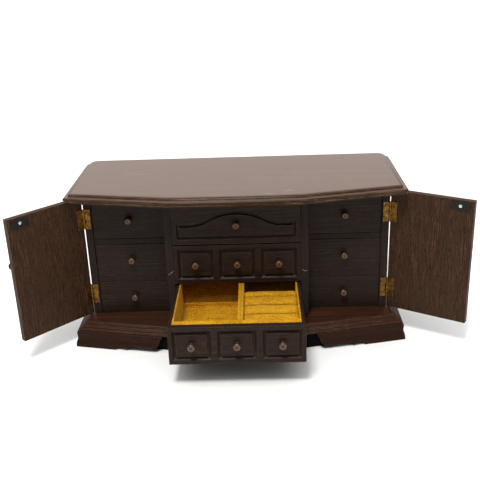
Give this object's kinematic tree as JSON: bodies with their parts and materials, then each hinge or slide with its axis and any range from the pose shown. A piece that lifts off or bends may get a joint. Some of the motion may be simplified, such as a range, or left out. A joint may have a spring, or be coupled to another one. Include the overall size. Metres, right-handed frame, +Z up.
{
  "type": "jewelry armoire",
  "caption": "Tabletop jewelry armoire: bow-fronted case with a moulded top and base on bracket feet, hinged doors over side drawers, panelled centre drawers and velvet ring rolls.",
  "frame": {"origin": "on the floor at the middle of the front skirt's underside", "axes": "+Z up, +Y towards the back, +X to the right as seen from the front"},
  "size_m": [0.5405, 0.2547, 0.198],
  "materials": {
    "top_wood": "satin lacquered reddish brown wood, worn",
    "base_wood": "satin lacquered reddish dark brown wood",
    "case_wood": "dark walnut stain",
    "door_wood": "dark walnut stain with vertical grain",
    "front_wood": "very dark walnut stain, satin",
    "tray_wood": "thin dark stained wood",
    "velvet": "gold flocked velvet",
    "knob_wood": "turned dark wood, polished",
    "brass": "aged brass",
    "black_steel": "black enamelled steel"
  },
  "bodies": {
    "case": {"top_board": "top_wood", "base_board": "base_wood", "front_skirt": "case_wood", "foot_front_left": "base_wood", "foot_back_left": "base_wood", "side_left": "case_wood", "partition_left": "case_wood", "foot_front_right": "base_wood", "foot_back_right": "base_wood", "side_right": "case_wood", "partition_right": "case_wood", "back_panel": "case_wood", "shelf_lower": "case_wood", "shelf_upper": "case_wood", "hinge_frame_leaf_left_upper": "brass", "hinge_frame_leaf_left_lower": "brass", "hinge_frame_leaf_right_upper": "brass", "hinge_frame_leaf_right_lower": "brass"},
    "door_left": {"hinge_door_leaf_left_upper": "brass", "hinge_door_leaf_left_lower": "brass", "door_left": "door_wood", "door_knob_left": "knob_wood", "strike_plate_left": "black_steel"},
    "door_right": {"hinge_door_leaf_right_upper": "brass", "hinge_door_leaf_right_lower": "brass", "door_right": "door_wood", "door_knob_right": "knob_wood", "strike_plate_right": "black_steel"},
    "drawer_left_top": {"drawer_left_top_front": "front_wood", "drawer_left_top_tray": "tray_wood", "drawer_left_top_knob": "knob_wood"},
    "drawer_left_middle": {"drawer_left_middle_front": "front_wood", "drawer_left_middle_tray": "tray_wood", "drawer_left_middle_knob": "knob_wood"},
    "drawer_left_bottom": {"drawer_left_bottom_front": "front_wood", "drawer_left_bottom_tray": "tray_wood", "drawer_left_bottom_knob": "knob_wood"},
    "drawer_right_top": {"drawer_right_top_front": "front_wood", "drawer_right_top_tray": "tray_wood", "drawer_right_top_knob": "knob_wood"},
    "drawer_right_middle": {"drawer_right_middle_front": "front_wood", "drawer_right_middle_tray": "tray_wood", "drawer_right_middle_knob": "knob_wood"},
    "drawer_right_bottom": {"drawer_right_bottom_front": "front_wood", "drawer_right_bottom_tray": "tray_wood", "drawer_right_bottom_knob": "knob_wood"},
    "drawer_centre_top": {"drawer_centre_top_front": "front_wood", "drawer_centre_top_tray": "tray_wood", "drawer_centre_top_knob": "knob_wood"},
    "drawer_centre_middle": {"drawer_centre_middle_front": "front_wood", "drawer_centre_middle_tray": "tray_wood", "drawer_centre_middle_knob_1": "knob_wood", "drawer_centre_middle_knob_2": "knob_wood", "drawer_centre_middle_knob_3": "knob_wood"},
    "drawer_centre_bottom": {"drawer_centre_bottom_front": "front_wood", "drawer_centre_bottom_tray": "tray_wood", "drawer_centre_bottom_knob_1": "knob_wood", "drawer_centre_bottom_knob_2": "knob_wood", "drawer_centre_bottom_knob_3": "knob_wood", "ring_rolls": "velvet"}
  },
  "joints": [
    {"name": "door_left_hinge", "type": "hinge", "parent": "case", "child": "door_left", "pos_m": [-0.1844, 0.04451, 0.1083], "axis": [0, 0, -1], "range_deg": [-122, 43]},
    {"name": "door_right_hinge", "type": "hinge", "parent": "case", "child": "door_right", "pos_m": [0.1844, 0.04451, 0.1083], "axis": [0, 0, 1], "range_deg": [-137, 28]},
    {"name": "drawer_left_top_slide", "type": "slide", "parent": "case", "child": "drawer_left_top", "axis": [0, -1, 0], "range_m": [0, 0.075]},
    {"name": "drawer_left_middle_slide", "type": "slide", "parent": "case", "child": "drawer_left_middle", "axis": [0, -1, 0], "range_m": [0, 0.075]},
    {"name": "drawer_left_bottom_slide", "type": "slide", "parent": "case", "child": "drawer_left_bottom", "axis": [0, -1, 0], "range_m": [0, 0.075]},
    {"name": "drawer_right_top_slide", "type": "slide", "parent": "case", "child": "drawer_right_top", "axis": [0, -1, 0], "range_m": [0, 0.075]},
    {"name": "drawer_right_middle_slide", "type": "slide", "parent": "case", "child": "drawer_right_middle", "axis": [0, -1, 0], "range_m": [0, 0.075]},
    {"name": "drawer_right_bottom_slide", "type": "slide", "parent": "case", "child": "drawer_right_bottom", "axis": [0, -1, 0], "range_m": [0, 0.075]},
    {"name": "drawer_centre_top_slide", "type": "slide", "parent": "case", "child": "drawer_centre_top", "axis": [0, -1, 0], "range_m": [0, 0.11]},
    {"name": "drawer_centre_middle_slide", "type": "slide", "parent": "case", "child": "drawer_centre_middle", "axis": [0, -1, 0], "range_m": [0, 0.11]},
    {"name": "drawer_centre_bottom_slide", "type": "slide", "parent": "case", "child": "drawer_centre_bottom", "axis": [0, -1, 0], "range_m": [-0.108, 0.002]}
  ]
}
